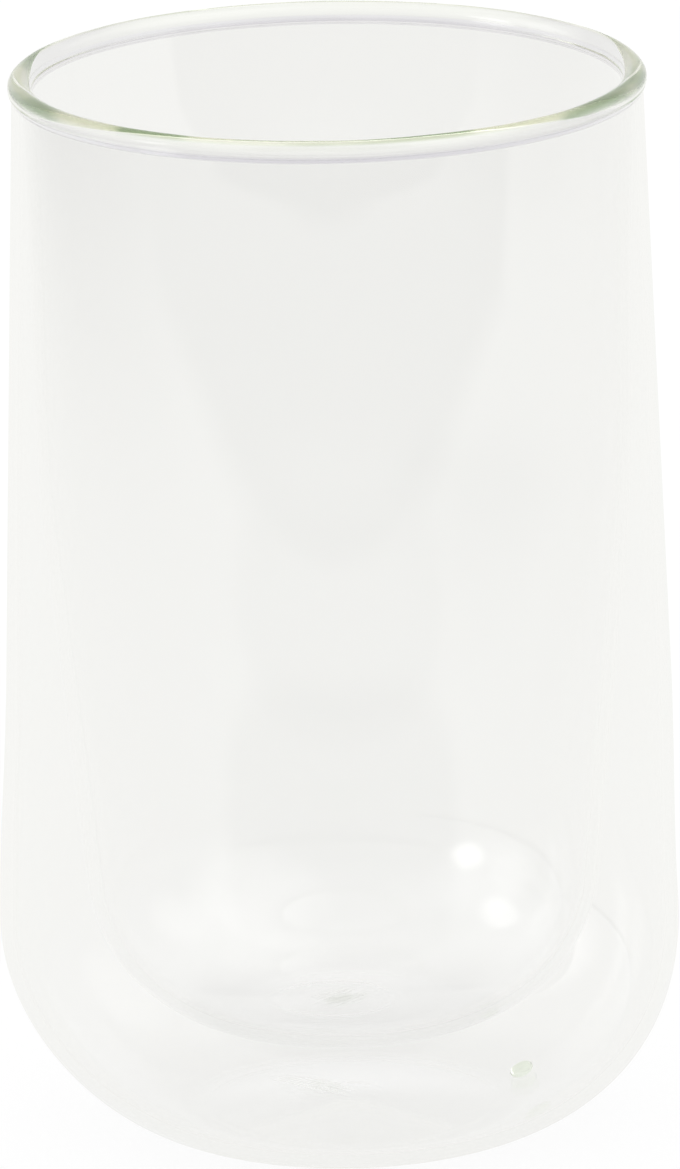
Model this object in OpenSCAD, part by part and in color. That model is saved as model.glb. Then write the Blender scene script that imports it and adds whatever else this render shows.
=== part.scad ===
/* [Cup] */
// Height from the table to the top of the rim bead
height = 136.7; // [120:0.1:150]
// Inside radius of the mouth, where the walls meet the neck
mouth_r = 37; // [33:0.1:41]
// Width of the air gap between the walls at the neck
neck_gap = 0.2; // [0.1:0.05:0.5]
// Height of the air gap between the floors, on the axis
floor_gap = 10.5; // [8:0.1:13]
// Segments round every full turn
turn_steps = 96; // [48:8:160]

/* [Rim bead] */
// Distance by which the bead's middle stands outside the middle of the neck
bead_shift = 0.25; // [0:0.05:0.4]
// Thickness of the round bead
bead_d = 2.95; // [2.6:0.05:3.4]
// Depth of the fused neck under the middle of the bead
neck_h = 1.2; // [0.8:0.05:1.4]

/* [Outer vessel] */
// Radius that the straight outer wall gains from the neck to the table, if it ran on that far
outer_flare = 4.4; // [2.5:0.1:6.5]
// Radius of the large round heel
outer_heel_r = 28.1; // [24:0.1:30]
// Angle at which the heel runs into the foot, in degrees
outer_heel_angle = 19; // [14:1:22]
// Rounding on both sides of the foot ring
foot_edge_r = 10; // [8:0.5:11]
// Width of the foot ring before rounding
foot_w = 3.6; // [3:0.1:5]
// Height of the pushed-up floor under its middle
push_up_h = 1.5; // [1:0.1:2.5]
// Level middle of the pushed-up floor, before rounding, as a share of the foot's inner radius
push_up_share = 0.12; // [0.08:0.01:0.2]
// Share of that level middle that the rounding at its edge takes up
push_up_round_share = 0.9; // [0.7:0.01:0.95]
// Thickness of the outer wall at the neck
outer_wall = 1.15; // [1:0.05:1.2]
// Thickness of the outer heel and floor
outer_floor = 1.7; // [1.2:0.05:2.4]

/* [Inner vessel] */
// Radius that the inner wall loses in the short flare under the neck
inner_neck_step = 0.6; // [0.2:0.05:1]
// Depth of that flare below the rim
inner_neck_depth = 24; // [18:1:28]
// Radius that it loses from there to the bend where it starts to narrow
inner_bend_step = 0.2; // [0:0.05:0.8]
// Depth of that bend below the rim
inner_bend_depth = 51.3; // [47.3:0.5:60.3]
// Rounding of that bend
inner_bend_round = 180; // [120:10:200]
// Radius that it loses from the bend to the floor, if it ran on that far
inner_narrowing = 7.2; // [5:0.1:9]
// Rounding between the inner wall and its floor
inner_heel_r = 18.7; // [15:0.1:22]
// Thickness of the inner wall at the neck
inner_wall = 1.15; // [1:0.05:1.2]
// Thickness of the inner floor
inner_floor = 1.5; // [1.2:0.05:2.2]
// Radius of the tooling ring on the inner floor
tool_ring_r = 7.8; // [6:0.1:9]
// Width of the glass rod that the tooling ring was pressed from
tool_ring_d = 0.9; // [0.6:0.05:1.2]
// Height by which the tooling ring stands out of the floor
tool_ring_h = 0.2; // [0.1:0.05:0.4]

/* [Vent seal] */
// Radius of the vent hole through the outer heel
vent_r = 1; // [0.8:0.05:1.2]
// Distance of the vent hole outside the foot ring
vent_off = 4; // [3:0.1:5]
// Direction of the vent hole round the axis, in degrees
vent_angle = 16; // [0:1:359]
// Radius of the drop of glass in the vent hole
seal_r = 1.6; // [1.5:0.05:1.8]
// Depth of the middle of the drop under the inner face of the heel
seal_sink = 0.4; // [0.3:0.05:0.5]
// Clearance that lets the drop's flat underside rest on the curved heel
seal_gap = 0.06; // [0.04:0.01:0.1]

/* [Hidden] */

// Overrun that carries a cut clear of the glass
overrun = 3;
// Steps in each rounded corner of an outline
round_steps = 14;
// Height at which both walls end under the neck
seat_z = height - bead_d / 2 - neck_h;
// Outside radius where the outer wall meets the neck
outer_top_r = mouth_r + inner_wall + neck_gap + outer_wall;
// Middle of the rim bead
bead_z = height - bead_d / 2;
bead_ring_r = (mouth_r + outer_top_r) / 2 + bead_shift;
// Slope of the outer wall, as radius lost for each unit of height
outer_taper = outer_flare / seat_z;
// Where the outer wall and the heel's slope would meet, when the heel's round runs straight into the foot's
heel_turn = 90 + atan(outer_taper) - outer_heel_angle;
heel_reach = outer_heel_r * tan(heel_turn / 2);
heel_run = heel_reach + foot_edge_r * tan(outer_heel_angle / 2);
heel_corner_z = heel_run * sin(outer_heel_angle);
heel_corner_r = outer_top_r + outer_flare - outer_taper * heel_corner_z;
// Middle of the heel's round
heel_mid_r = heel_corner_r - heel_reach * cos(outer_heel_angle) - outer_heel_r * sin(outer_heel_angle);
heel_mid_z = heel_corner_z - heel_reach * sin(outer_heel_angle) + outer_heel_r * cos(outer_heel_angle);
// Outer and inner radius of the foot ring, before rounding
foot_outer_r = heel_corner_r - heel_run * cos(outer_heel_angle);
foot_inner_r = foot_outer_r - foot_w;
// Level middle of the pushed-up floor, and the rounding at its edge
push_up_r = push_up_share * foot_inner_r;
push_up_edge_r = push_up_round_share * push_up_r / tan(atan(push_up_h / (foot_inner_r - push_up_r)) / 2);
// Inside radii of the inner wall, from the neck down
inner_neck_r = mouth_r - inner_neck_step;
inner_bend_r = inner_neck_r - inner_bend_step;
inner_foot_r = inner_bend_r - inner_narrowing;
// Height of the inner floor above the table
inner_floor_z = push_up_h + outer_floor + floor_gap + inner_floor;
// Lean of the heel's surface where the vent hole goes through it
vent_lean = asin((foot_outer_r + vent_off - heel_mid_r) / outer_heel_r);

// Direction from one point to another, as a unit vector
function toward(a, b) = (b - a) / norm(b - a);

// Points of one corner, rounded to radius r, between the points before and after it
function corner(before, p, after, r) =
    let (u = toward(p, before), v = toward(p, after), open = acos(u * v), m = (u + v) / norm(u + v))
    let (c = p + m * r / sin(open / 2), start = p + u * r / tan(open / 2) - c, turn = 180 - open)
    let (side = cross(u, v) > 0 ? -1 : 1)
    [for (i = [0:round_steps]) let (a = side * turn * i / round_steps)
        c + [start.x * cos(a) - start.y * sin(a), start.x * sin(a) + start.y * cos(a)]];

// Outline through the corners of a path of [radius, height, rounding]
function outline(path) = [
    for (i = [0:len(path) - 1]) let (p = [path[i].x, path[i].y])
        if (i == 0 || i == len(path) - 1) p
        else for (q = corner([path[i - 1].x, path[i - 1].y], p, [path[i + 1].x, path[i + 1].y], path[i].z)) q];

// Share of the way up to the neck, eased so that the wall thins smoothly
function up_share(z, low) = let (s = max(0, min(1, (z - low) / (seat_z - low)))) s * (2 - s);

// The same outline moved sideways through the glass, to the left for a positive side
function skin(points, side, wall, floor_wall, low) = [
    for (i = [0:len(points) - 1])
        let (p = points[i], t = floor_wall + (wall - floor_wall) * up_share(p.y, low))
        let (d = toward(points[max(i - 1, 0)], points[min(i + 1, len(points) - 1)]))
        i == 0 ? p + side * [0, t]
        : i == len(points) - 1 ? p - side * [t, 0]
        : p + side * t * [-d.y, d.x]];

// Outline reversed, to close a wall's section
function back_along(points) = [for (i = [len(points) - 1:-1:0]) points[i]];

outer_outside = outline([
    [0, push_up_h],
    [push_up_r, push_up_h, push_up_edge_r],
    [foot_inner_r, 0, foot_edge_r],
    [foot_outer_r, 0, foot_edge_r],
    [heel_corner_r, heel_corner_z, outer_heel_r],
    [outer_top_r, seat_z]]);
outer_inside = skin(outer_outside, 1, outer_wall, outer_floor, outer_heel_r);

inner_inside = outline([
    [0, inner_floor_z],
    [inner_foot_r, inner_floor_z, inner_heel_r],
    [inner_bend_r, height - inner_bend_depth, inner_bend_round],
    [inner_neck_r, height - inner_neck_depth, inner_bend_round],
    [mouth_r, seat_z]]);
inner_outside = skin(inner_inside, -1, inner_wall, inner_floor, inner_floor_z + inner_heel_r);

// Moves its child to the mouth of the vent hole on the outside of the heel, with +Z into the cup
module at_vent() {
    rotate([0, 0, vent_angle])
    translate([heel_mid_r, 0, heel_mid_z])
    rotate([0, -vent_lean, 0])
    translate([0, 0, -outer_heel_r])
    children();
}

// Closed glass wall, turned from the section between two outlines
module turned_wall(first, second) {
    rotate_extrude($fn = turn_steps)
    polygon(concat(first, back_along(second)));
}

// Blown outer vessel with its foot ring, pushed-up floor and vent hole
module outer_vessel() {
    color([0.9, 0.93, 0.9, 0.35])
    difference() {
        turned_wall(outer_outside, outer_inside);
        at_vent()
        translate([0, 0, -overrun])
        cylinder(r = vent_r, h = outer_floor + 2 * overrun, $fn = turn_steps);
    }
}

// Blown inner vessel with the tooling ring on its floor
module inner_vessel() {
    color([0.88, 0.92, 0.95, 0.35])
    union() {
        turned_wall(inner_outside, inner_inside);
        rotate_extrude($fn = turn_steps)
        translate([tool_ring_r, inner_floor_z + tool_ring_h - tool_ring_d / 2])
        circle(d = tool_ring_d, $fn = turn_steps);
    }
}

// Flame-polished bead and the short neck that joins both walls
module rim_bead() {
    color([0.78, 0.86, 0.6, 0.6])
    rotate_extrude($fn = turn_steps)
    union() {
        difference() {
            translate([bead_ring_r, bead_z])
            circle(d = bead_d, $fn = turn_steps);
            translate([bead_ring_r - bead_d, seat_z - bead_d])
            square([2 * bead_d, bead_d]);
        }
        translate([mouth_r, seat_z])
        square([outer_top_r - mouth_r, bead_z - seat_z]);
    }
}

// Drop of glass that fills the vent hole and stands on the heel's inner face as a small dome
module vent_seal() {
    color([0.6, 0.7, 0.55, 0.8])
    at_vent()
    rotate_extrude($fn = turn_steps)
    union() {
        square([vent_r, outer_floor + seal_gap]);
        intersection() {
            translate([0, outer_floor - seal_sink])
            circle(r = seal_r, $fn = turn_steps);
            translate([0, outer_floor + seal_gap])
            square([seal_r, seal_r]);
        }
    }
}

outer_vessel();
inner_vessel();
rim_bead();
vent_seal();
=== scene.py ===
# Double walled glass cup: blown glass, a pale table top, soft studio light and the photograph's camera
import math

import bpy
from mathutils import Matrix, Vector


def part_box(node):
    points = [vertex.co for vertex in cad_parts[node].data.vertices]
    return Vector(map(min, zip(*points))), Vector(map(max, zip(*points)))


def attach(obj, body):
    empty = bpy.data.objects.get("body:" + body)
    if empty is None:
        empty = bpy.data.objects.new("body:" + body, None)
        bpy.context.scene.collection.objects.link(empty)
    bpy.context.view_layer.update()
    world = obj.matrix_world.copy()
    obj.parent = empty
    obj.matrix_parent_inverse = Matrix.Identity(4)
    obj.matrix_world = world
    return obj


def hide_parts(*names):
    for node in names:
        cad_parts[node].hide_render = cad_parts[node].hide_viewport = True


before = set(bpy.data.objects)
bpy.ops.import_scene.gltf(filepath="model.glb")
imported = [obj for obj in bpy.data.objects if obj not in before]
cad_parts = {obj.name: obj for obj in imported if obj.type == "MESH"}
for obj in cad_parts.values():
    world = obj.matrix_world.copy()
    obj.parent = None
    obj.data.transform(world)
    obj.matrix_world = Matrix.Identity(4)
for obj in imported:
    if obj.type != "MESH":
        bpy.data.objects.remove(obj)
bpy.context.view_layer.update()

mm = 0.001


def toLinear(hexColour):
    # sRGB hex to the linear colour that shaders use
    parts = [int(hexColour[i:i + 2], 16) / 255 for i in (1, 3, 5)]
    return [c / 12.92 if c <= 0.04045 else ((c + 0.055) / 1.055) ** 2.4 for c in parts] + [1.0]


def addNode(tree, kind, settings=None, links=None):
    # settings go to the node's own values or to its sockets; links come from a socket or a node's first one
    node = tree.nodes.new(kind)
    for key, value in (settings or {}).items():
        if isinstance(key, str) and hasattr(node, key):
            setattr(node, key, value)
        else:
            node.inputs[key].default_value = value
    for key, source in (links or {}).items():
        tree.links.new(source.outputs[0] if hasattr(source, "outputs") else source, node.inputs[key])
    return node


def newMaterial(name):
    material = bpy.data.materials.new(name)
    material.use_nodes = True
    material.node_tree.nodes.clear()
    return material, material.node_tree


# Outlines: points of [radius, height] in mm, from the axis outside round to the rim

def toward(a, b):
    return (b - a).normalized()


def roundedCorner(before, point, after, radius, steps):
    u, v = toward(point, before), toward(point, after)
    opening = u.angle(v)
    centre = point + (u + v).normalized() * radius / math.sin(opening / 2)
    start = point + u * radius / math.tan(opening / 2) - centre
    side = -1 if u.x * v.y - u.y * v.x > 0 else 1
    turn = side * (math.pi - opening)
    return [centre + Matrix.Rotation(turn * i / steps, 2) @ start for i in range(steps + 1)]


def outlineOf(corners):
    # each corner is (radius, height, rounding, steps); the ends have no rounding
    path = [Vector(corner[:2]) for corner in corners]
    points = [path[0]]
    for i in range(1, len(path) - 1):
        points += roundedCorner(path[i - 1], path[i], path[i + 1], corners[i][2], corners[i][3])
    return points + [path[-1]]


def filledIn(points, longest):
    # long straight stretches get points of their own, so that a wall can carry its small waves
    dense = [points[0]]
    for a, b in zip(points, points[1:]):
        count = max(1, math.ceil((b - a).length / longest))
        dense += [a.lerp(b, i / count) for i in range(1, count + 1)]
    return dense


def movedThrough(points, side, wall, floorWall, low, high):
    # the same outline moved through the glass, which thins from the heel to the neck
    moved = []
    for i, p in enumerate(points):
        share = max(0, min(1, (p.y - low) / (high - low)))
        t = floorWall + (wall - floorWall) * share * (2 - share)
        d = toward(points[max(i - 1, 0)], points[min(i + 1, len(points) - 1)])
        step = Vector((-d.y, d.x)) * t * side
        if i == 0:
            step = Vector((0, side * t))
        if i == len(points) - 1:
            step = Vector((-side * t, 0))
        moved.append(p + step)
    return moved


# Making pieces

def deselectAll():
    bpy.ops.object.select_all(action="DESELECT")


def turnedPiece(name, outline, closed, segments):
    # one corner is extruded on from point to point, and the section is spun round the axis
    deselectAll()
    points = [Vector((p.x, 0, p.y)) * mm for p in outline]
    if closed:
        points.append(points[0])
    bpy.ops.mesh.primitive_plane_add(size=mm, location=points[0])
    piece = bpy.context.object
    piece.name = piece.data.name = name
    bpy.ops.object.mode_set(mode="EDIT")
    bpy.ops.mesh.select_all(action="SELECT")
    bpy.ops.mesh.merge(type="CENTER")
    for a, b in zip(points, points[1:]):
        bpy.ops.mesh.extrude_region_move(TRANSFORM_OT_translate={"value": b - a})
    bpy.ops.mesh.select_all(action="SELECT")
    bpy.ops.mesh.spin(steps=segments, angle=math.tau, center=(0, 0, 0), axis=(0, 0, 1))
    bpy.ops.mesh.select_all(action="SELECT")
    bpy.ops.mesh.remove_doubles(threshold=mm / 1000)
    bpy.ops.mesh.normals_make_consistent(inside=False)
    bpy.ops.object.mode_set(mode="OBJECT")
    bpy.ops.object.transform_apply(location=True, rotation=True, scale=True)
    bpy.ops.object.shade_smooth_by_angle(angle=math.radians(40))
    return piece


print("stage: outlines")

cup = {
    "segments": 384,        # steps round each turned piece
    "straightStep": 5.0,    # longest straight stretch of a wall's outline
    "weldGap": 0.004,       # keeps the faces of a weld apart, so that a ray meets them in order
    "seatSlack": 0.02,      # how far from the weld's height a face still belongs to it
}
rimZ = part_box("rim_bead")[1].z / mm
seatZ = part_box("outer_vessel")[1].z / mm

outer = {
    "topR": 39.5, "flare": 4.4, "heelR": 28.1, "heelAngle": 19, "footEdgeR": 10, "footW": 3.6,
    "pushUpH": 1.5, "pushUpShare": 0.12, "pushUpRoundShare": 0.9, "wall": 1.15, "floor": 1.7,
}
taper = outer["flare"] / seatZ
heelAngle = math.radians(outer["heelAngle"])
heelReach = outer["heelR"] * math.tan((math.pi / 2 + math.atan(taper) - heelAngle) / 2)
heelRun = heelReach + outer["footEdgeR"] * math.tan(heelAngle / 2)
heelZ = heelRun * math.sin(heelAngle)
heelCornerR = outer["topR"] + outer["flare"] - taper * heelZ
footR = heelCornerR - heelRun * math.cos(heelAngle)
footInnerR = footR - outer["footW"]
pushUpR = outer["pushUpShare"] * footInnerR
pushUpTurn = math.atan(outer["pushUpH"] / (footInnerR - pushUpR))
pushUpRound = outer["pushUpRoundShare"] * pushUpR / math.tan(pushUpTurn / 2)
heelMid = Vector((heelCornerR - heelReach * math.cos(heelAngle) - outer["heelR"] * math.sin(heelAngle),
                  heelZ - heelReach * math.sin(heelAngle) + outer["heelR"] * math.cos(heelAngle)))

outerSkin = filledIn(outlineOf([
    (0, outer["pushUpH"]),
    (pushUpR, outer["pushUpH"], pushUpRound, 8),
    (footInnerR, 0, outer["footEdgeR"], 6),
    (footR, 0, outer["footEdgeR"], 6),
    (heelCornerR, heelZ, outer["heelR"], 44),
    (outer["topR"], seatZ)]), cup["straightStep"])
outerBack = movedThrough(outerSkin, 1, outer["wall"], outer["floor"], outer["heelR"], seatZ)

inner = {
    "topR": 37, "neckStep": 0.6, "neckDepth": 24, "bendStep": 0.2, "bendDepth": 51.3, "bendRound": 180,
    "narrowing": 7.2, "heelR": 18.7, "floorZ": 15.2, "wall": 1.15, "floor": 1.5,
}
neckR = inner["topR"] - inner["neckStep"]
bendR = neckR - inner["bendStep"]
innerSkin = filledIn(outlineOf([
    (0, inner["floorZ"]),
    (bendR - inner["narrowing"], inner["floorZ"], inner["heelR"], 40),
    (bendR, rimZ - inner["bendDepth"], inner["bendRound"], 6),
    (neckR, rimZ - inner["neckDepth"], inner["bendRound"], 3),
    (inner["topR"], seatZ)]), cup["straightStep"])
innerHeelZ = inner["floorZ"] + inner["heelR"]
innerBack = movedThrough(innerSkin, -1, inner["wall"], inner["floor"], innerHeelZ, seatZ)

print("stage: vessels")
for outline in (outerSkin, outerBack, innerSkin, innerBack):
    outline[-1].y -= cup["weldGap"]
outerGlass = turnedPiece("outer_vessel_glass", outerSkin + outerBack[::-1], False, cup["segments"])
innerGlass = turnedPiece("inner_vessel_glass", innerBack + innerSkin[::-1], False, cup["segments"])

blown = {
    "bellyZ": 32, "bellySpan": 26, "bellyLean": -0.55,      # the belly stands off to the left
    "footZ": 4, "footSpan": 20, "footLean": 0.6,            # and the foot to the right
}


def smoothShare(x):
    x = max(0, min(1, x))
    return x * x * (3 - 2 * x)


def weightGroup(piece, name, weightAt):
    group = piece.vertex_groups.new(name=name)
    for vertex in piece.data.vertices:
        group.add([vertex.index], weightAt(vertex.co / mm), "REPLACE")


def displace(piece, direction, strength, groupName, texture=None, middle=0.0):
    # strength in mm
    deselectAll()
    piece.select_set(True)
    bpy.context.view_layer.objects.active = piece
    bpy.ops.object.modifier_add(type="DISPLACE")
    push = piece.modifiers[-1]
    push.direction, push.strength, push.mid_level = direction, strength * mm, middle
    push.vertex_group = groupName
    if texture:
        push.texture, push.texture_coords = texture, "LOCAL"
    bpy.ops.object.modifier_apply(modifier=push.name)


def softClouds(name, size):
    # size in mm
    texture = bpy.data.textures.new(name, "CLOUDS")
    texture.noise_scale, texture.noise_depth = size * mm, 1
    return texture


weightGroup(outerGlass, "belly", lambda p: smoothShare(1 - abs(p.z - blown["bellyZ"]) / blown["bellySpan"]))
weightGroup(outerGlass, "foot", lambda p: smoothShare(1 - abs(p.z - blown["footZ"]) / blown["footSpan"]))
displace(outerGlass, "X", blown["bellyLean"], "belly")
displace(outerGlass, "X", blown["footLean"], "foot")

print("stage: bead")
bead = {
    "ringR": 38.5, "d": 2.95, "steps": 40,
    "waveSize": 9, "waveDepth": 0.12,       # where the flame left it a little thicker and thinner
    "waveFade": 1.2,                        # height over the weld in which those waves grow
}
beadR = bead["d"] / 2
beadZ = rimZ - beadR
neckInR, neckOutR = inner["topR"], outer["topR"]


def beadOutline():
    # round bead, running down into the neck on both sides
    inTouch = math.acos(max(-1, (neckInR - bead["ringR"]) / beadR))
    outTouch = -math.acos((neckOutR - bead["ringR"]) / beadR)
    arc = []
    for i in range(bead["steps"] + 1):
        turn = outTouch + (inTouch - outTouch) * i / bead["steps"]
        arc.append(Vector((bead["ringR"] + beadR * math.cos(turn), beadZ + beadR * math.sin(turn))))
    innerJoin = Vector((neckInR + inner["wall"], seatZ))
    outerJoin = Vector((neckOutR - outer["wall"], seatZ))
    return [Vector((neckOutR, seatZ))] + arc + [Vector((neckInR, seatZ)), innerJoin, outerJoin]


beadGlass = turnedPiece("rim_bead_glass", beadOutline(), True, cup["segments"])
weightGroup(beadGlass, "round", lambda p: smoothShare((p.z - seatZ) / bead["waveFade"]))
displace(beadGlass, "NORMAL", bead["waveDepth"], "round", softClouds("flame waves", bead["waveSize"]), 0.5)

print("stage: vent seal")
seal = {
    "angle": 16, "offFoot": 4,              # place of the closed vent hole, as in the solid
    "size": (1.6, 1.3, 1.0), "sink": 0.35,
    "segments": 48, "rings": 32,
    "tail": 2.0, "tailReach": 1.8,          # thread of glass drawn out when the burner went away
    "tailTowards": (-1, 0.1, 0), "tailRoot": 0.97,      # its way, and how near to that a point starts it
    "waveSize": 1.6, "waveDepth": 0.15,
}


def sealPlace():
    # on the heel's inner face, with Z away from it
    lean = math.asin((footR + seal["offFoot"] - heelMid.x) / outer["heelR"])
    inside = outer["heelR"] - outer["floor"]
    radius, height = heelMid.x + inside * math.sin(lean), heelMid.y - inside * math.cos(lean)
    turned = Matrix.Rotation(math.radians(seal["angle"]), 4, "Z")
    return turned @ Matrix.Translation((radius * mm, 0, height * mm)) @ Matrix.Rotation(-lean, 4, "Y")


def makeSeal():
    deselectAll()
    bpy.ops.mesh.primitive_uv_sphere_add(segments=seal["segments"], ring_count=seal["rings"], radius=mm)
    drop = bpy.context.object
    drop.name = drop.data.name = "vent_seal_drop"
    bpy.ops.object.mode_set(mode="EDIT")
    bpy.ops.mesh.select_all(action="SELECT")
    bpy.ops.transform.resize(value=seal["size"])
    bpy.ops.object.mode_set(mode="OBJECT")
    turn = Matrix.Rotation(math.radians(-seal["angle"]), 4, "Z")
    away = turn @ Vector(seal["tailTowards"])
    for vertex in drop.data.vertices:
        vertex.select = vertex.co.normalized().dot(away) > seal["tailRoot"]
    bpy.ops.object.mode_set(mode="EDIT")
    bpy.ops.transform.translate(value=away * seal["tail"] * mm, use_proportional_edit=True,
                                proportional_edit_falloff="SHARP", proportional_size=seal["tailReach"] * mm)
    bpy.ops.object.mode_set(mode="OBJECT")
    weightGroup(drop, "all", lambda p: 1.0)
    displace(drop, "NORMAL", seal["waveDepth"], "all", softClouds("pinched waves", seal["waveSize"]), 0.5)
    drop.matrix_world = sealPlace() @ Matrix.Translation((0, 0, (seal["size"][2] - seal["sink"]) * mm))
    bpy.ops.object.transform_apply(location=True, rotation=True, scale=True)
    bpy.ops.object.shade_smooth()
    return drop


sealDrop = makeSeal()

print("stage: materials")

# clear borosilicate: no colour, no haze, and a full mirror and lens where it is smooth
clearGlass = {"Roughness": 0.0, "IOR": 1.474, "Transmission Weight": 1.0}
lightPath = {
    "ranOn": 2.5,       # past so many mirror steps light has run on inside a wall
    "letOut": 3.5,      # and past so many the glass lets it out
}
blownLook = {
    "streaks": (0.25, 0.25, 0.012),     # drawn from a tube: a streak each 4 mm, long up the wall
    "streakDepth": 0.0008,
    "foldFade": (0.3, 1.0), "foldShadeFade": (0.25, 0.8),       # where a mark starts to fade and ends
}
innerLook = {
    "colour": "#FEFEFE", "centre": (-1.4, 0.0), "ringR": 7.8, "ringW": 2.2, "ringH": 0.025,
    "foldCentre": (-0.4, 0.8), "foldTurn": 55, "foldSize": (6.0, 4.8), "foldDrawn": (1.0, 2.4, 1.0),
    # the fold colour is a painted shade where the folds lie over one another
    "foldH": 0.12, "foldShadeColour": "#EBEDE8", "foldShadeSpan": (0.44, 0.56),
}
outerLook = {
    "colour": "#FEFEFE",
    "foldCentre": (-4.3, 4.0), "foldTurn": -51, "foldSize": (9.5, 3.0), "foldDrawn": (1.4, 2.2, 1.0),
    # the fold colour is a painted shade where the folds lie over one another
    "foldH": 0.12, "foldShadeColour": "#EDEFEA", "foldShadeSpan": (0.44, 0.56),
}


def inMillimetres(tree):
    # the piece's own coordinates, in mm
    place = addNode(tree, "ShaderNodeTexCoord").outputs["Object"]
    return addNode(tree, "ShaderNodeVectorMath", {"operation": "SCALE", "Scale": 1 / mm}, {0: place})


def markedPlace(tree, spot, centre, turn, size):
    # coordinates from a mark's middle, turned with it and 1 at its edge, and the distance from that middle
    moved = addNode(tree, "ShaderNodeMapping", {
        "vector_type": "TEXTURE", "Location": (*centre, 0), "Rotation": (0, 0, math.radians(turn)),
        "Scale": (*size, 1)}, {"Vector": spot})
    flat = addNode(tree, "ShaderNodeVectorMath", {"operation": "MULTIPLY", 1: (1, 1, 0)}, {0: moved})
    away = addNode(tree, "ShaderNodeVectorMath", {"operation": "LENGTH"}, {0: flat})
    return moved, away.outputs["Value"]


def drawnStreaks(tree, spot):
    tall = addNode(tree, "ShaderNodeMapping", {"Scale": blownLook["streaks"]}, {"Vector": spot})
    noise = addNode(tree, "ShaderNodeTexNoise", {"Scale": 1.0, "Detail": 1.5, "Roughness": 0.45},
                    {"Vector": tall})
    return addNode(tree, "ShaderNodeMath", {"operation": "MULTIPLY", 1: blownLook["streakDepth"]}, {0: noise})


def folds(tree, spot, look):
    # folds of glass that ran while it was soft, longer one way than across, and how far off their middle is
    place, away = markedPlace(tree, spot, look["foldCentre"], look["foldTurn"], look["foldSize"])
    drawn = addNode(tree, "ShaderNodeMapping", {"Scale": look["foldDrawn"]}, {"Vector": place})
    noise = addNode(tree, "ShaderNodeTexNoise", {"Scale": 1.0, "Detail": 1.0, "Distortion": 0.6},
                    {"Vector": drawn})
    return noise, away


def foldedMark(tree, spot, look):
    fold, away = folds(tree, spot, look)
    inside, edge = blownLook["foldFade"]
    within = addNode(tree, "ShaderNodeMapRange", {
        "interpolation_type": "SMOOTHSTEP", "From Min": inside, "From Max": edge,
        "To Min": look["foldH"], "To Max": 0.0}, {"Value": away})
    return addNode(tree, "ShaderNodeMath", {"operation": "MULTIPLY"}, {0: fold, 1: within})


def foldedShade(tree, spot, look):
    # painted shade where the folds lie over one another: the glass is coloured greyer there
    fold, away = folds(tree, spot, look)
    lightAt, darkAt = look["foldShadeSpan"]
    foldShading = addNode(tree, "ShaderNodeMapRange", {
        "interpolation_type": "SMOOTHSTEP", "From Min": lightAt, "From Max": darkAt}, {"Value": fold})
    inside, edge = blownLook["foldShadeFade"]
    within = addNode(tree, "ShaderNodeMapRange", {
        "interpolation_type": "SMOOTHSTEP", "From Min": inside, "From Max": edge,
        "To Min": 1.0, "To Max": 0.0}, {"Value": away})
    share = addNode(tree, "ShaderNodeMath", {"operation": "MULTIPLY"}, {0: foldShading, 1: within})
    colour = addNode(tree, "ShaderNodeMix", {
        "data_type": "RGBA", 6: toLinear(look["colour"]), 7: toLinear(look["foldShadeColour"])}, {0: share})
    return colour.outputs[2]


def pressedRing(tree, spot, look):
    # low ring where the tool closed the inner floor
    _, away = markedPlace(tree, spot, look["centre"], 0, (1, 1))
    off = addNode(tree, "ShaderNodeMath", {"operation": "SUBTRACT", 1: look["ringR"]}, {0: away})
    off = addNode(tree, "ShaderNodeMath", {"operation": "ABSOLUTE"}, {0: off})
    return addNode(tree, "ShaderNodeMapRange", {
        "interpolation_type": "SMOOTHSTEP", "From Min": look["ringW"] / 2, "From Max": 0.0,
        "To Min": 0.0, "To Max": look["ringH"]}, {"Value": off})


def leavesGlass(tree, shader):
    # light trapped by total reflection would run on inside the wall for ever, so it is let out
    path = addNode(tree, "ShaderNodeLightPath")
    trapped = addNode(tree, "ShaderNodeMath", {"operation": "GREATER_THAN", 1: lightPath["letOut"]},
                      {0: path.outputs["Glossy Depth"]})
    through = addNode(tree, "ShaderNodeBsdfTransparent")
    return addNode(tree, "ShaderNodeMixShader", links={0: trapped, 1: shader, 2: through})


def blownGlass(name, look, marks):
    # clear borosilicate, blown in a turning mould: fire-bright, nearly colourless, faintly streaked, with a
    # painted greyer shade in its folds
    material, tree = newMaterial(name)
    spot = inMillimetres(tree)
    height = drawnStreaks(tree, spot)
    for mark in marks:
        height = addNode(tree, "ShaderNodeMath", {"operation": "ADD"}, {0: height, 1: mark(tree, spot, look)})
    bump = addNode(tree, "ShaderNodeBump", {"Strength": 1.0, "Distance": mm}, {"Height": height})
    shader = addNode(tree, "ShaderNodeBsdfPrincipled", clearGlass,
                     {"Base Color": foldedShade(tree, spot, look), "Normal": bump})
    addNode(tree, "ShaderNodeOutputMaterial", links={"Surface": leavesGlass(tree, shader)})
    return material


def fusedJoint():
    # faces that meet inside one run of molten glass: no light bends there
    material, tree = newMaterial("borosilicate glass fused joint")
    shader = addNode(tree, "ShaderNodeBsdfTransparent")
    addNode(tree, "ShaderNodeOutputMaterial", links={"Surface": shader})
    return material


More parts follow.
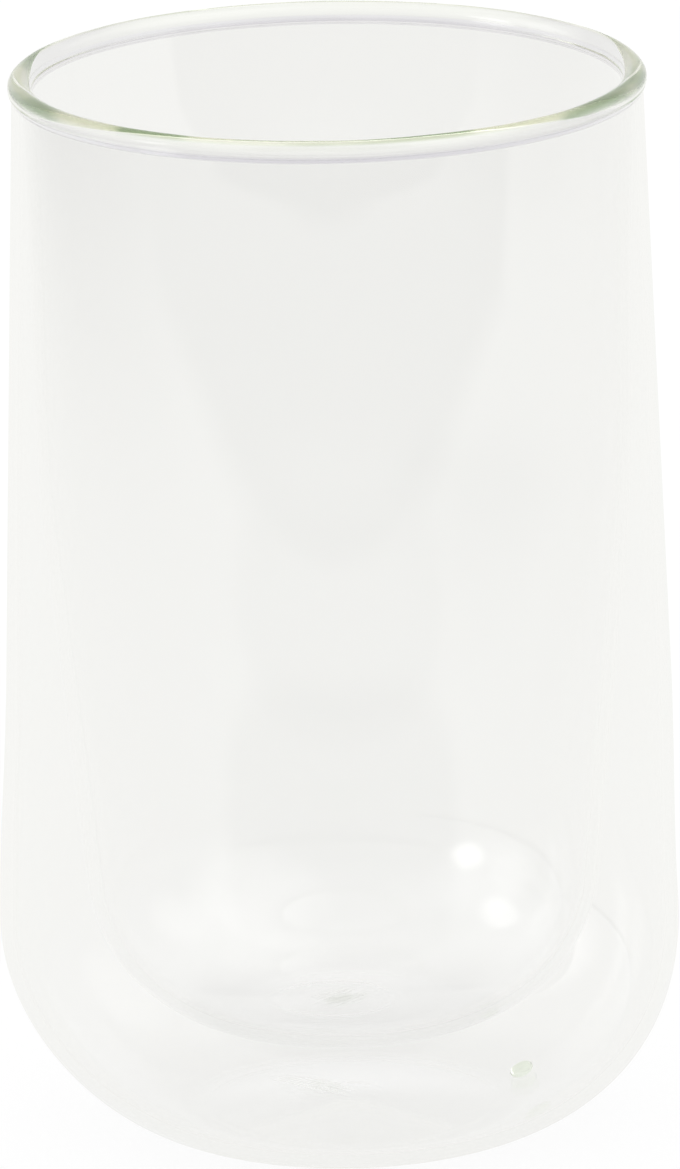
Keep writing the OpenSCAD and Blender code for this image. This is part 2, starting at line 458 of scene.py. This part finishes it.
# where the melt's green gathers along the rim, shared by the seam and the bead: patches in mm along it and
# across, and the places, in mm, of painted glints where the rim is palest (+) and of spots where its green is
# deepest (-)
rimPatches = {
    "patch": 14.0, "streak": 2.2, "spread": (0.34, 0.62),
    "glintsAndDeepSpots": [((-30.8, -23.1), 7.0, 0.3), ((24.0, -30.0), 12.0, 0.3),
              ((-22.0, -31.5), 7.0, -0.3), ((14.3, -35.7), 8.0, -0.3)],
    "spotFull": 0.2,        # share of a spot's size that has it in full
}
seamLook = {
    "deep": "#B4C8A6", "pale": "#FEFFEC", "cloud": 0.92,
    "clearFrom": 0.8, "cloudyFrom": 0.5,    # seen along its face it is clear, from above it shows its green
}
beadLook = {
    # the colour below is a painted lilac-grey shade under the bead's clear middle
    "below": "#E1DFE4", "runZ": (134.55, 135.05), "above": "#FEFFFC",
    "crownZ": (136.15, 136.5), "crownR": (37.9, 38.5), "deep": "#CAD4AE", "pale": "#F6F8E0",
}
sealLook = {"colour": "#EFF5E8"}


def greenAndGlints(tree, axes, look):
    # the melt's green in patches, lightened by painted glints at some places, and the radius they lie at
    flat = addNode(tree, "ShaderNodeCombineXYZ", links={0: axes.outputs["X"], 1: axes.outputs["Y"]})
    radius = addNode(tree, "ShaderNodeVectorMath", {"operation": "LENGTH"}, {0: flat}).outputs["Value"]
    acrossShare = rimPatches["patch"] / rimPatches["streak"]
    across = addNode(tree, "ShaderNodeMath", {"operation": "MULTIPLY", 1: acrossShare}, {0: radius})
    along = addNode(tree, "ShaderNodeCombineXYZ", links={
        0: axes.outputs["X"], 1: axes.outputs["Y"], 2: across})
    level = addNode(tree, "ShaderNodeTexNoise", {
        "Scale": 1 / rimPatches["patch"], "Detail": 2.0, "Roughness": 0.5}, {"Vector": along})
    # painted glints lighten the rim at the + places; the - places deepen its green
    for centre, size, amount in rimPatches["glintsAndDeepSpots"]:
        away = addNode(tree, "ShaderNodeVectorMath", {"operation": "DISTANCE", 1: (*centre, 0)}, {0: flat})
        near = addNode(tree, "ShaderNodeMapRange", {
            "interpolation_type": "SMOOTHSTEP", "From Min": rimPatches["spotFull"] * size, "From Max": size,
            "To Min": amount, "To Max": 0.0}, {"Value": away.outputs["Value"]})
        level = addNode(tree, "ShaderNodeMath", {"operation": "ADD"}, {0: level, 1: near})
    deepest, palest = rimPatches["spread"]
    share = addNode(tree, "ShaderNodeMapRange", {
        "interpolation_type": "SMOOTHSTEP", "From Min": deepest, "From Max": palest}, {"Value": level})
    patches = addNode(tree, "ShaderNodeMix", {
        "data_type": "RGBA", 6: toLinear(look["deep"]), 7: toLinear(look["pale"])}, {0: share})
    return patches.outputs[2], radius


def cloudySeam(look):
    # where both walls ran together: a little cloudy, and green as a pane's cut edge is, in patches
    material, tree = newMaterial("borosilicate glass melted seam")
    axes = addNode(tree, "ShaderNodeSeparateXYZ", links={0: inMillimetres(tree)})
    patches, _ = greenAndGlints(tree, axes, look)
    cloud = addNode(tree, "ShaderNodeBsdfDiffuse", links={"Color": patches})
    through = addNode(tree, "ShaderNodeBsdfTransparent")
    facing = addNode(tree, "ShaderNodeLayerWeight", {"Blend": 0.5}).outputs["Facing"]
    share = addNode(tree, "ShaderNodeMapRange", {
        "interpolation_type": "SMOOTHSTEP", "From Min": look["clearFrom"], "From Max": look["cloudyFrom"],
        "To Min": 0.0, "To Max": look["cloud"]}, {"Value": facing})
    shader = addNode(tree, "ShaderNodeMixShader", links={0: share, 1: through, 2: cloud})
    addNode(tree, "ShaderNodeOutputMaterial", links={"Surface": shader})
    return material


def polishedGlass(look):
    # the same glass, fire-polished into a round bead: green where the outer wall rolled into its crown, clear
    # round its middle, and with a painted lilac-grey shade where it runs into the walls
    material, tree = newMaterial("borosilicate glass fire polished")
    axes = addNode(tree, "ShaderNodeSeparateXYZ", links={0: inMillimetres(tree)})
    height = axes.outputs["Z"]
    patches, radius = greenAndGlints(tree, axes, look)
    spans = ((look["runZ"], height), (look["crownZ"], height), (look["crownR"], radius))
    run, up, out = [addNode(tree, "ShaderNodeMapRange", {
        "interpolation_type": "SMOOTHSTEP", "From Min": low, "From Max": high}, {"Value": place})
        for (low, high), place in spans]
    colour = addNode(tree, "ShaderNodeMix", {
        "data_type": "RGBA", 6: toLinear(look["below"]), 7: toLinear(look["above"])}, {0: run})
    crown = addNode(tree, "ShaderNodeMath", {"operation": "MULTIPLY"}, {0: up, 1: out})
    colour = addNode(tree, "ShaderNodeMix", {"data_type": "RGBA"}, {
        0: crown, 6: colour.outputs[2], 7: patches})
    shader = addNode(tree, "ShaderNodeBsdfPrincipled", clearGlass, {"Base Color": colour.outputs[2]})
    addNode(tree, "ShaderNodeOutputMaterial", links={"Surface": leavesGlass(tree, shader)})
    return material


def pinchedGlass(look):
    # pinched off hot over the vent hole: thick for its size, so it shows the melt's green
    material, tree = newMaterial("borosilicate glass pinched off hot")
    shader = addNode(tree, "ShaderNodeBsdfPrincipled", {**clearGlass, "Base Color": toLinear(look["colour"])})
    addNode(tree, "ShaderNodeOutputMaterial", links={"Surface": shader})
    return material


jointGlass = fusedJoint()
seamGlass = cloudySeam(seamLook)
innerGlassLook = blownGlass("borosilicate glass blown inner", innerLook, (pressedRing, foldedMark))
outerGlassLook = blownGlass("borosilicate glass blown outer", outerLook, (foldedMark,))
beadGlassLook = polishedGlass(beadLook)
sealGlassLook = pinchedGlass(sealLook)


def atSeat(face):
    return abs(face.center.z / mm - seatZ) < cup["seatSlack"] and abs(face.normal.z) > 0.9      # and level


def onWall(face):
    # the bead's underside without the open middle between the walls
    r = face.center.xy.length / mm
    return atSeat(face) and not neckInR + inner["wall"] < r < neckOutR - outer["wall"]


def dress(piece, node, glass, jointed=None, joint=None):
    piece.data.materials.append(glass)
    if jointed:
        piece.data.materials.append(joint)
        for face in piece.data.polygons:
            face.material_index = 1 if jointed(face) else 0
    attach(piece, "root")
    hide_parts(node)


dress(outerGlass, "outer_vessel", outerGlassLook, atSeat, jointGlass)
dress(innerGlass, "inner_vessel", innerGlassLook, atSeat, jointGlass)
dress(beadGlass, "rim_bead", beadGlassLook, onWall, seamGlass)
dress(sealDrop, "vent_seal", sealGlassLook)

print("stage: studio")
studio = {
    "floorHalf": 1.8, "paper": "#E7E7E7",
    "matt": 0.08,           # share of the paper that only the soft light brightens, and that takes the shadow
    "white": 0.95,          # the paper's own glow as the camera sees it, which that light brings to white
    "through": 0.865,       # and as it shows in the glass, where a white sheet looks a little duller
    "throughColour": "#FFFFFC",
    "skyThrough": 0.92,     # the white behind the cup, seen through it
    # in the mirror the sheet carries a painted shade beyond a bowed line before the camera
    "edge": {"near": -0.43, "bow": 1.36, "bowPower": 4, "deepest": 0.135, "soft": 0.015},
    # this painted shade shows only as steeply as the outer wall looks down on it: flatter is lost in the far
    # room's light, and steeper, where the inner wall sees the bowed line, it is still paper
    "paintedDarkness": {
        "glow": 0.29, "steep": (0.247, 0.282), "steepSoft": 0.003, "reachShare": 0.11, "farthest": 1.0},
    # the sheet's sides lie in shade, the left one more
    "sides": [{"from": -0.34, "to": -0.74, "share": 0.9}, {"from": 0.2, "to": 0.7, "share": 0.12}],
    # the cup's own shadow, towards the camera
    "shadow": {"middle": -0.112, "size": (0.102, 0.052), "soft": 0.10, "glow": 0.46},
    # light that ran on inside a wall comes out at one level, wherever it is let out
    "runOn": {"sheet": 0.84, "room": 0.90},
    # the mirrored room: white all round, greyer where the camera stands
    "behind": 0.97, "cameraSide": 0.93, "cameraEdge": (-0.62, -0.38),
    # soft lamps that the glass mirrors: direction, half angle in degrees and strength, and where a lamp's
    # light starts and is full, in shares of its half angle
    "lampFade": (1.6, 0.4),
    "lamps": [
        {"towards": (-0.87, -0.10, 0.46), "half": 20, "strength": 0.7},
        {"towards": (-0.96, 0.14, 0.26), "half": 12, "strength": 0.35},
        {"towards": (0.60, -0.30, 0.74), "half": 24, "strength": 0.7},
        {"towards": (0.76, 0.42, 0.50), "half": 12, "strength": 0.35},
        {"towards": (-0.87, -0.36, 0.34), "half": 7, "strength": 2.0},
        {"towards": (0.0, -0.15, 0.99), "half": 34, "strength": 0.35},
        # and the dim back of the room
        {"towards": (0.0, 0.74, 0.67), "half": 26, "strength": -0.15, "fade": (1.25, 0.7)},
    ],
}


def mirrorSteps(tree, path):
    # whether the ray was mirrored at all, and whether it ran on inside a wall
    depth = path.outputs["Glossy Depth"]
    mirrored = addNode(tree, "ShaderNodeMath", {"operation": "GREATER_THAN", 1: 0.5}, {0: depth})
    ranOn = addNode(tree, "ShaderNodeMath", {"operation": "GREATER_THAN", 1: lightPath["ranOn"]}, {0: depth})
    return mirrored, ranOn


def beyondShadeLine(tree, axes):
    # share of the painted shade beyond the bowed line on the sheet
    edge = studio["edge"]
    across = addNode(tree, "ShaderNodeMath", {"operation": "ABSOLUTE"}, {0: axes.outputs["X"]})
    bow = addNode(tree, "ShaderNodeMath", {"operation": "POWER", 1: edge["bowPower"]}, {0: across})
    bow = addNode(tree, "ShaderNodeMath", {"operation": "MULTIPLY", 1: edge["bow"]}, {0: bow})
    bow = addNode(tree, "ShaderNodeMath", {"operation": "MINIMUM", 1: edge["deepest"]}, {0: bow})
    ahead = addNode(tree, "ShaderNodeMath", {"operation": "SUBTRACT"}, {0: axes.outputs["Y"], 1: bow})
    return addNode(tree, "ShaderNodeMapRange", {
        "interpolation_type": "SMOOTHSTEP",
        "From Min": edge["near"] + edge["soft"], "From Max": edge["near"] - edge["soft"]}, {"Value": ahead})


def steepEnough(tree, place):
    # share of it by how steeply the mirrored ray comes down
    dark = studio["paintedDarkness"]
    reach = addNode(tree, "ShaderNodeVectorMath", {"operation": "LENGTH"}, {0: place}).outputs["Value"]
    reach = addNode(tree, "ShaderNodeMath", {"operation": "MINIMUM", 1: dark["farthest"]}, {0: reach})
    reach = addNode(tree, "ShaderNodeMath", {"operation": "MULTIPLY", 1: dark["reachShare"]}, {0: reach})
    facing = addNode(tree, "ShaderNodeLayerWeight", {"Blend": 0.5}).outputs["Facing"]
    down = addNode(tree, "ShaderNodeMath", {"operation": "SUBTRACT", 0: 1.0}, {1: facing})
    steepness = addNode(tree, "ShaderNodeMath", {"operation": "ADD"}, {0: down, 1: reach})
    low, high, soft = *dark["steep"], dark["steepSoft"]
    steep, notTooSteep = [addNode(tree, "ShaderNodeMapRange", {
        "interpolation_type": "SMOOTHSTEP", "From Min": none, "From Max": full}, {"Value": steepness})
        for none, full in ((low - soft, low + soft), (high + soft, high - soft))]
    return addNode(tree, "ShaderNodeMath", {"operation": "MULTIPLY"}, {0: steep, 1: notTooSteep})


def cupShadow(tree, place):
    shadow = studio["shadow"]
    around = addNode(tree, "ShaderNodeMapping", {
        "vector_type": "TEXTURE", "Location": (0, shadow["middle"], 0), "Scale": (*shadow["size"], 1)},
        {"Vector": place})
    away = addNode(tree, "ShaderNodeVectorMath", {"operation": "LENGTH"}, {0: around}).outputs["Value"]
    return addNode(tree, "ShaderNodeMapRange", {
        "interpolation_type": "SMOOTHSTEP",
        "From Min": 1 + shadow["soft"], "From Max": 1 - shadow["soft"]}, {"Value": away})


def makeFloor():
    deselectAll()
    bpy.ops.mesh.primitive_plane_add(size=2 * studio["floorHalf"])
    floor = bpy.context.object
    floor.name = "table_top"
    material, tree = newMaterial("paper sheet matt white")
    path = addNode(tree, "ShaderNodeLightPath")
    place = addNode(tree, "ShaderNodeTexCoord").outputs["Object"]
    axes = addNode(tree, "ShaderNodeSeparateXYZ", links={0: place})
    # painted into what the glass mirrors of the sheet: shade beyond a bowed line, shade on its sides and the
    # cup's shadow
    shade = addNode(tree, "ShaderNodeMath", {"operation": "MULTIPLY"},
                    {0: beyondShadeLine(tree, axes), 1: steepEnough(tree, place)})
    for side in studio["sides"]:
        sideShade = addNode(tree, "ShaderNodeMapRange", {
            "interpolation_type": "SMOOTHSTEP", "From Min": side["from"], "From Max": side["to"],
            "To Min": 0.0, "To Max": side["share"]}, {"Value": axes.outputs["X"]})
        shade = addNode(tree, "ShaderNodeMath", {"operation": "MAXIMUM"}, {0: shade, 1: sideShade})
    mirrored, ranOn = mirrorSteps(tree, path)
    darkened, shaded = [addNode(tree, "ShaderNodeMath", {"operation": "MULTIPLY"}, {0: mirrored, 1: share})
                        for share in (shade, cupShadow(tree, place))]
    level = addNode(tree, "ShaderNodeMix", {
        "data_type": "FLOAT", 2: studio["through"], 3: studio["shadow"]["glow"]}, {0: shaded})
    # for mirrored rays the sheet's glow is lowered to the painted shade's level
    level = addNode(tree, "ShaderNodeMix", {"data_type": "FLOAT", 3: studio["paintedDarkness"]["glow"]},
                    {0: darkened, 2: level})
    level = addNode(tree, "ShaderNodeMix", {"data_type": "FLOAT", 3: studio["runOn"]["sheet"]},
                    {0: ranOn, 2: level})
    # the sheet glows for the camera and in the glass, and a small share of it is plain matt paper
    viaGlass = addNode(tree, "ShaderNodeMath", {"operation": "MAXIMUM"}, {
        0: path.outputs["Is Glossy Ray"], 1: path.outputs["Is Transmission Ray"]})
    inGlass = addNode(tree, "ShaderNodeMath", {"operation": "MULTIPLY"}, {0: viaGlass, 1: level})
    inCamera = addNode(tree, "ShaderNodeMath", {"operation": "MULTIPLY", 1: studio["white"]},
                       {0: path.outputs["Is Camera Ray"]})
    glassLight = addNode(tree, "ShaderNodeEmission", {"Color": toLinear(studio["throughColour"])},
                         {"Strength": inGlass})
    cameraLight = addNode(tree, "ShaderNodeEmission", links={"Strength": inCamera})
    matt = addNode(tree, "ShaderNodeBsdfDiffuse", {"Color": toLinear(studio["paper"])})
    dull = addNode(tree, "ShaderNodeMixShader", {0: studio["matt"]}, {2: matt})
    glow = addNode(tree, "ShaderNodeAddShader", links={0: glassLight, 1: cameraLight})
    both = addNode(tree, "ShaderNodeAddShader", links={0: dull, 1: glow})
    addNode(tree, "ShaderNodeOutputMaterial", links={"Surface": both})
    floor.data.materials.append(material)


def makeWorld():
    world = bpy.data.worlds.new("white studio")
    bpy.context.scene.world = world
    world.use_nodes = True
    tree = world.node_tree
    tree.nodes.clear()
    path = addNode(tree, "ShaderNodeLightPath")
    towards = addNode(tree, "ShaderNodeTexCoord").outputs["Generated"]
    axes = addNode(tree, "ShaderNodeSeparateXYZ", links={0: towards})
    room = addNode(tree, "ShaderNodeMapRange", {
        "interpolation_type": "SMOOTHSTEP",
        "From Min": studio["cameraEdge"][0], "From Max": studio["cameraEdge"][1],
        "To Min": studio["cameraSide"], "To Max": studio["behind"]}, {"Value": axes.outputs["Y"]})
    for lamp in studio["lamps"]:
        nearness = addNode(tree, "ShaderNodeVectorMath", {
            "operation": "DOT_PRODUCT", 1: Vector(lamp["towards"]).normalized()}, {0: towards})
        half = math.radians(lamp["half"])
        starts, full = lamp.get("fade", studio["lampFade"])
        glow = addNode(tree, "ShaderNodeMapRange", {
            "interpolation_type": "SMOOTHSTEP",
            "From Min": math.cos(half * starts), "From Max": math.cos(half * full),
            "To Min": 0.0, "To Max": lamp["strength"]}, {"Value": nearness.outputs["Value"]})
        room = addNode(tree, "ShaderNodeMath", {"operation": "ADD"}, {0: room, 1: glow})
    mirrored, ranOn = mirrorSteps(tree, path)
    room = addNode(tree, "ShaderNodeMix", {"data_type": "FLOAT", 3: studio["runOn"]["room"]},
                   {0: ranOn, 2: room})
    # plain white to soft light, the room to the mirror, duller straight through glass, white to the camera
    level = addNode(tree, "ShaderNodeMix", {"data_type": "FLOAT", 2: 1.0}, {0: mirrored, 3: room})
    notMirrored = addNode(tree, "ShaderNodeMath", {"operation": "SUBTRACT", 0: 1.0}, {1: mirrored})
    direct = addNode(tree, "ShaderNodeMath", {"operation": "MULTIPLY"},
                     {0: path.outputs["Is Transmission Ray"], 1: notMirrored})
    level = addNode(tree, "ShaderNodeMix", {"data_type": "FLOAT", 3: studio["skyThrough"]},
                    {0: direct, 2: level})
    shown = addNode(tree, "ShaderNodeMix", {"data_type": "FLOAT", 3: 1.0},
                    {0: path.outputs["Is Camera Ray"], 2: level})
    sky = addNode(tree, "ShaderNodeBackground", {"Color": toLinear("#FFFFFF")}, {"Strength": shown})
    addNode(tree, "ShaderNodeOutputWorld", links={"Surface": sky})


makeFloor()
makeWorld()

print("stage: camera")
photo = {
    "width": 680, "height": 1169,   # the photograph's frame, in pixels
    "focal": 15609,                 # focal length in those pixels
    "away": 1.900, "up": 0.5792,    # the camera's distance from the axis and its height, in metres
    "pitch": 0.2618, "yaw": 0.0002, "roll": -0.0198,
    "sensor": 36,                   # long side of the sensor in mm
    "clip": (0.1, 10),
}


def makeCamera():
    camera = bpy.data.cameras.new("camera")
    camera.sensor_fit = "AUTO"
    camera.sensor_width = photo["sensor"]
    camera.lens = photo["sensor"] * photo["focal"] / max(photo["width"], photo["height"])
    camera.clip_start, camera.clip_end = photo["clip"]
    holder = bpy.data.objects.new("camera", camera)
    bpy.context.scene.collection.objects.link(holder)
    ahead = Vector((math.sin(photo["yaw"]) * math.cos(photo["pitch"]),
                    math.cos(photo["yaw"]) * math.cos(photo["pitch"]), -math.sin(photo["pitch"])))
    right = ahead.cross(Vector((0, 0, 1))).normalized()
    up = right.cross(ahead)
    c, s = math.cos(photo["roll"]), math.sin(photo["roll"])
    turned = Matrix([c * right + s * up, c * up - s * right, -ahead]).transposed()
    holder.matrix_world = Matrix.Translation((0, -photo["away"], photo["up"])) @ turned.to_4x4()
    bpy.context.scene.camera = holder


makeCamera()
scene = bpy.context.scene
scene.view_settings.view_transform = "Standard"
scene.cycles.max_bounces = 32
scene.cycles.transmission_bounces = 32
scene.cycles.glossy_bounces = 24
scene.cycles.transparent_max_bounces = 24
